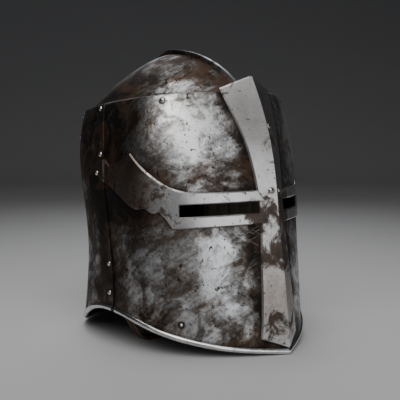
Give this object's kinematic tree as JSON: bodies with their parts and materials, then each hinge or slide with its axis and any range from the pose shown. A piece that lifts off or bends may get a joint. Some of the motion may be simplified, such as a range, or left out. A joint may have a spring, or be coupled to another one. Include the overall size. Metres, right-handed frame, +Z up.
{
  "type": "great helm",
  "caption": "Riveted steel great helm with a keeled face, eye-slotted cross, raised crested crown, beaded neck rim, padded lining and buckled chin strap.",
  "frame": {"origin": "on the floor under the middle of the helm's length and width", "axes": "+Z up towards the crown, -Y towards the keel of the face, -X towards the wearer's right"},
  "size_m": [0.246, 0.3158, 0.3367],
  "materials": {
    "plate_steel": "dark patina worn to bright steel, pitted",
    "skull_steel": "brown patina over polished steel",
    "cross_steel": "brushed, with brown rust blotches",
    "rim_steel": "polished bead",
    "rivet_steel": "polished heads",
    "burr_steel": "dull",
    "buckle_brass": "aged brass",
    "strap_leather": "oiled brown leather",
    "band_leather": "vegetable-tanned leather",
    "liner_linen": "quilted undyed linen",
    "lace_linen": "twisted linen cord"
  },
  "bodies": {
    "helm": {"back_plate": "plate_steel", "brow_pad": "liner_linen", "cheek_pad_left": "liner_linen", "cheek_pad_right": "liner_linen", "chin_strap_left": "strap_leather", "chin_strap_right": "strap_leather", "comb": "skull_steel", "cross_reinforce": "cross_steel", "cross_rivets": "rivet_steel", "crown_lace": "lace_linen", "crown_rivets": "rivet_steel", "front_plate": "plate_steel", "liner_band": "band_leather", "liner_tongue_1": "liner_linen", "liner_tongue_2": "liner_linen", "liner_tongue_3": "liner_linen", "liner_tongue_4": "liner_linen", "liner_tongue_5": "liner_linen", "liner_tongue_6": "liner_linen", "lining_rivets": "rivet_steel", "nape_pad": "liner_linen", "rim_back": "rim_steel", "rim_front": "rim_steel", "rivet_burrs": "burr_steel", "seam_rivets": "rivet_steel", "skull_left": "skull_steel", "skull_right": "skull_steel", "strap_keeper": "strap_leather", "strap_rivets": "rivet_steel", "tie_tabs": "band_leather"},
    "buckle_frame": {"buckle_frame": "buckle_brass"},
    "buckle_prong": {"buckle_prong": "buckle_brass"}
  },
  "joints": [
    {"name": "buckle_swing", "type": "hinge", "parent": "helm", "child": "buckle_frame", "pos_m": [0.08452, 0.00512, 0.04775], "axis": [-0.1371, 0.9906, 0], "range_deg": [-50, 80]},
    {"name": "prong_swing", "type": "hinge", "parent": "buckle_frame", "child": "buckle_prong", "pos_m": [0.08452, 0.00512, 0.04775], "axis": [0.1371, -0.9906, 0], "range_deg": [0, 100]}
  ]
}
